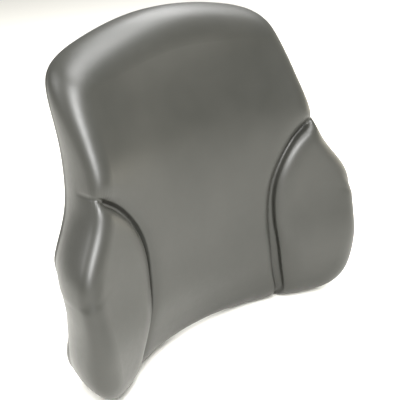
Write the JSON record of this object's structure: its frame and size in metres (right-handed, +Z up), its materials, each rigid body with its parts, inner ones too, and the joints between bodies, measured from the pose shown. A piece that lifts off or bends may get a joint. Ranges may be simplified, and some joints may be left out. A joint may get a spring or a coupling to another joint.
{
  "type": "seat backrest cushion",
  "caption": "Contoured seat backrest cushion in moulded vinyl, with a rolled top and side bolsters, that bolts to a seat frame.",
  "frame": {"origin": "centre of the four-bolt mounting pattern, on the flat rear face", "axes": "+X across the seat towards the sitter's left, +Y out of the rear face, +Z up"},
  "size_m": [0.498, 0.1612, 0.467],
  "materials": {
    "grey_vinyl": "smooth satin warm grey upholstery vinyl",
    "foam": "moulded polyurethane foam, open cells under a thin skin",
    "plywood": "unfinished moulded beech plywood",
    "black_steel": "black electrocoat",
    "zinc_steel": "bright zinc plated",
    "wire_steel": "drawn steel wire",
    "black_plastic": "finely textured black polypropylene",
    "black_screw": "black oxide"
  },
  "bodies": {
    "root": {"vinyl_skin": "grey_vinyl", "center_foam": "foam", "left_bolster_foam": "foam", "right_bolster_foam": "foam", "back_board": "plywood", "left_bolster_wing": "black_steel", "right_bolster_wing": "black_steel", "left_wing_screws": "zinc_steel", "right_wing_screws": "zinc_steel", "mount_t_nuts": "zinc_steel", "mount_spacers": "zinc_steel", "left_tuck_wire": "wire_steel", "right_tuck_wire": "wire_steel", "left_foam_wire": "wire_steel", "right_foam_wire": "wire_steel", "left_hog_rings": "wire_steel", "right_hog_rings": "wire_steel", "hem_staples": "wire_steel", "rear_cover": "black_plastic", "cover_screws": "black_screw", "breather_grommets": "black_plastic"}
  },
  "joints": []
}
